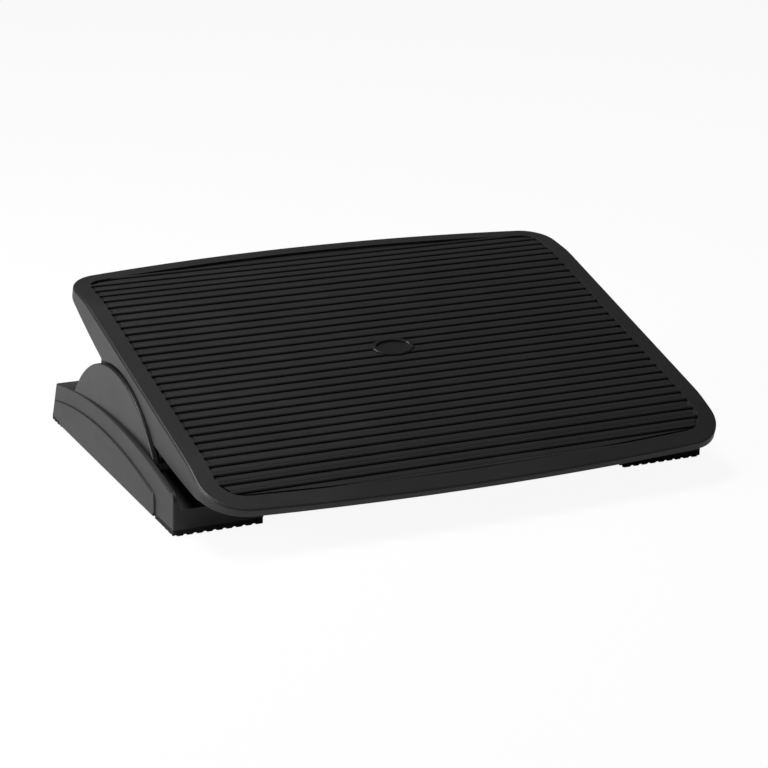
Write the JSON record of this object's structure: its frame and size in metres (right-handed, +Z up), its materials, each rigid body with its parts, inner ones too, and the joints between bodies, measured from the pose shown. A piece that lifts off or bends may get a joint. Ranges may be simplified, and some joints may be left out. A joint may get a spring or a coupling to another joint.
{
  "type": "tilting under desk footrest",
  "caption": "Free-standing footrest with a wide ribbed platform that tilts back and forth on curved saddles between low arched side pods on rubber feet.",
  "frame": {"origin": "middle of the underside of the whole box, on the floor", "axes": "+X across the platform's width, -Y towards the user, where the platform's low edge is in the tilt shown, +Z up"},
  "size_m": [0.4682, 0.363, 0.1337],
  "materials": {
    "platform_plastic": "satin black moulded plastic with a fine grain",
    "badge_plastic": "smooth satin black moulded plastic",
    "pod_plastic": "satin black moulded plastic",
    "saddle_plastic": "satin black moulded plastic, smoother on the rim",
    "inner_plastic": "matte black moulded plastic",
    "liner_acetal": "smooth black acetal",
    "rubber": "matte black rubber",
    "steel": "zinc plated steel",
    "black_screw": "blackened steel",
    "brass": "turned brass"
  },
  "bodies": {
    "base": {"left_pod_housing": "pod_plastic", "left_saddle": "saddle_plastic", "left_base_plate": "inner_plastic", "left_front_foot": "rubber", "left_rear_foot": "rubber", "left_housing_screws": "black_screw", "left_saddle_screws": "black_screw", "right_pod_housing": "pod_plastic", "right_saddle": "saddle_plastic", "right_base_plate": "inner_plastic", "right_front_foot": "rubber", "right_rear_foot": "rubber", "right_housing_screws": "black_screw", "right_saddle_screws": "black_screw"},
    "platform": {"platform_tray": "platform_plastic", "badge_plate": "badge_plastic", "left_carriage": "inner_plastic", "left_slide_liner": "liner_acetal", "left_keeper": "steel", "left_flat_washers": "steel", "left_spring_washers": "steel", "left_keeper_screws": "steel", "left_threaded_inserts": "brass", "left_carriage_screws": "steel", "right_carriage": "inner_plastic", "right_slide_liner": "liner_acetal", "right_keeper": "steel", "right_flat_washers": "steel", "right_spring_washers": "steel", "right_keeper_screws": "steel", "right_threaded_inserts": "brass", "right_carriage_screws": "steel"}
  },
  "joints": [
    {"name": "platform_tilt", "type": "hinge", "parent": "base", "child": "platform", "pos_m": [0, 0.02876, -0.023], "axis": [1, 0, 0], "range_deg": [-34.2, 1]}
  ]
}
